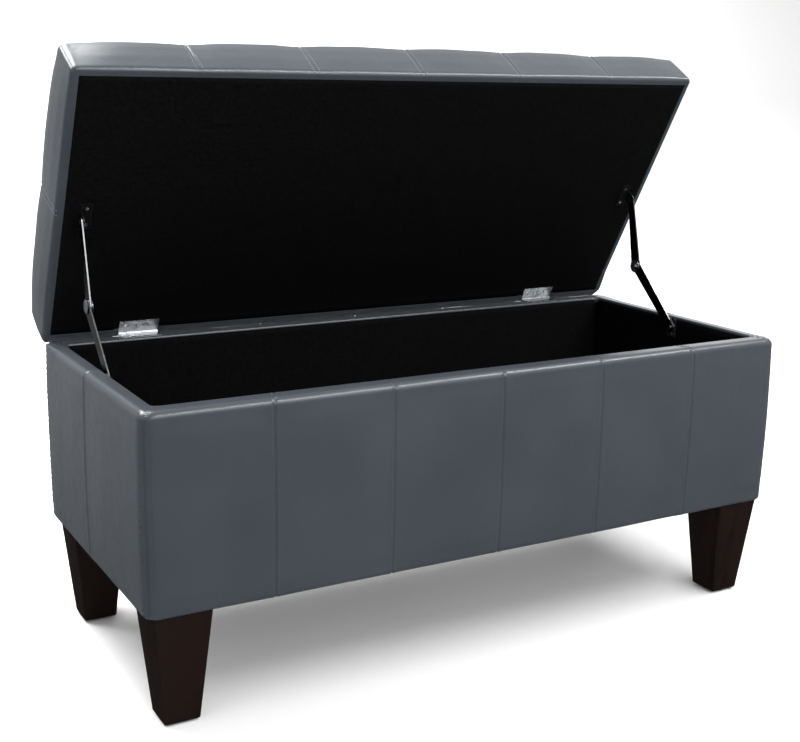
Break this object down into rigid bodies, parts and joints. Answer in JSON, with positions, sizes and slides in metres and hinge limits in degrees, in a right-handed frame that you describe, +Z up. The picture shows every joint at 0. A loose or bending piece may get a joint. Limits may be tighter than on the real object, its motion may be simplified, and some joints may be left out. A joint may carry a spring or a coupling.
{
  "type": "upholstered storage bench",
  "caption": "Long upholstered storage bench with a hinged padded lid held open by folding stays, a black lined box and tapered wooden legs.",
  "frame": {"origin": "on the floor under the middle of the bench's outline with the lid open", "axes": "+X along the bench to its right end, +Y from the front to the hinged rear, +Z up"},
  "size_m": [1.067, 0.5282, 0.8792],
  "materials": {
    "leatherette": "semi-gloss grained",
    "foam": "matte",
    "black_cloth": "matte",
    "leg_wood": "satin stain",
    "board": "raw",
    "black_plastic": "matte",
    "zinc_steel": "zinc plated",
    "stay_steel": "polished nickel plate"
  },
  "bodies": {
    "box": {"front_panel": "board", "rear_panel": "board", "left_panel": "board", "right_panel": "board", "bottom_panel": "board", "leg_block_front_left": "board", "leg_block_front_right": "board", "leg_block_rear_left": "board", "leg_block_rear_right": "board", "foam_front": "foam", "foam_rear": "foam", "foam_left": "foam", "foam_right": "foam", "cover_front": "leatherette", "cover_rear": "leatherette", "cover_left": "leatherette", "cover_right": "leatherette", "lining_front": "black_cloth", "lining_rear": "black_cloth", "lining_left": "black_cloth", "lining_right": "black_cloth", "lining_floor": "black_cloth", "dust_cover": "black_cloth", "leg_front_left": "leg_wood", "leg_front_right": "leg_wood", "leg_rear_left": "leg_wood", "leg_rear_right": "leg_wood", "leg_glides": "black_plastic", "leg_bolts": "zinc_steel", "leg_tee_nuts": "zinc_steel", "hinge_left_box_leaf": "zinc_steel", "hinge_right_box_leaf": "zinc_steel", "hinge_pins": "zinc_steel", "hinge_screws_box": "zinc_steel", "stay_left_box_bracket": "stay_steel", "stay_right_box_bracket": "stay_steel", "stay_rivets_box": "stay_steel", "stay_screws_box": "stay_steel"},
    "lid": {"lid_board": "board", "lid_foam": "foam", "lid_cover": "leatherette", "lid_lining": "black_cloth", "hinge_left_lid_leaf": "zinc_steel", "hinge_right_lid_leaf": "zinc_steel", "hinge_screws_lid": "zinc_steel", "stay_left_lid_bracket": "stay_steel", "stay_right_lid_bracket": "stay_steel", "stay_rivets_lid": "stay_steel", "stay_screws_lid": "stay_steel"},
    "left_lower_arm": {"stay_left_lower_arm": "stay_steel"},
    "right_lower_arm": {"stay_right_lower_arm": "stay_steel"},
    "left_upper_arm": {"stay_left_upper_arm": "stay_steel"},
    "right_upper_arm": {"stay_right_upper_arm": "stay_steel"}
  },
  "joints": [
    {"name": "lid_hinge", "type": "hinge", "parent": "box", "child": "lid", "pos_m": [0, 0.19914, 0.439], "axis": [1, 0, 0], "range_deg": [0, 61]},
    {"name": "stay_left_lower", "type": "hinge", "parent": "box", "child": "left_lower_arm", "pos_m": [-0.505, -0.04286, 0.418], "axis": [1, 0, 0], "range_deg": [-42.12, 0.5]},
    {"name": "stay_left_upper", "type": "hinge", "parent": "lid", "child": "left_upper_arm", "pos_m": [-0.501, 0.07995, 0.63133], "axis": [1, 0, 0], "range_deg": [-0.5, 38.54]},
    {"name": "stay_right_lower", "type": "hinge", "parent": "box", "child": "right_lower_arm", "pos_m": [0.505, -0.04286, 0.418], "axis": [1, 0, 0], "range_deg": [-42.12, 0.5]},
    {"name": "stay_right_upper", "type": "hinge", "parent": "lid", "child": "right_upper_arm", "pos_m": [0.501, 0.07995, 0.63133], "axis": [1, 0, 0], "range_deg": [-0.5, 38.54]}
  ],
  "couplings": [
    {"joint": "stay_left_lower", "follows": "lid_hinge", "ratio": -0.68228},
    {"joint": "stay_left_upper", "follows": "lid_hinge", "ratio": 0.62361},
    {"joint": "stay_right_lower", "follows": "lid_hinge", "ratio": -0.68228},
    {"joint": "stay_right_upper", "follows": "lid_hinge", "ratio": 0.62361}
  ]
}
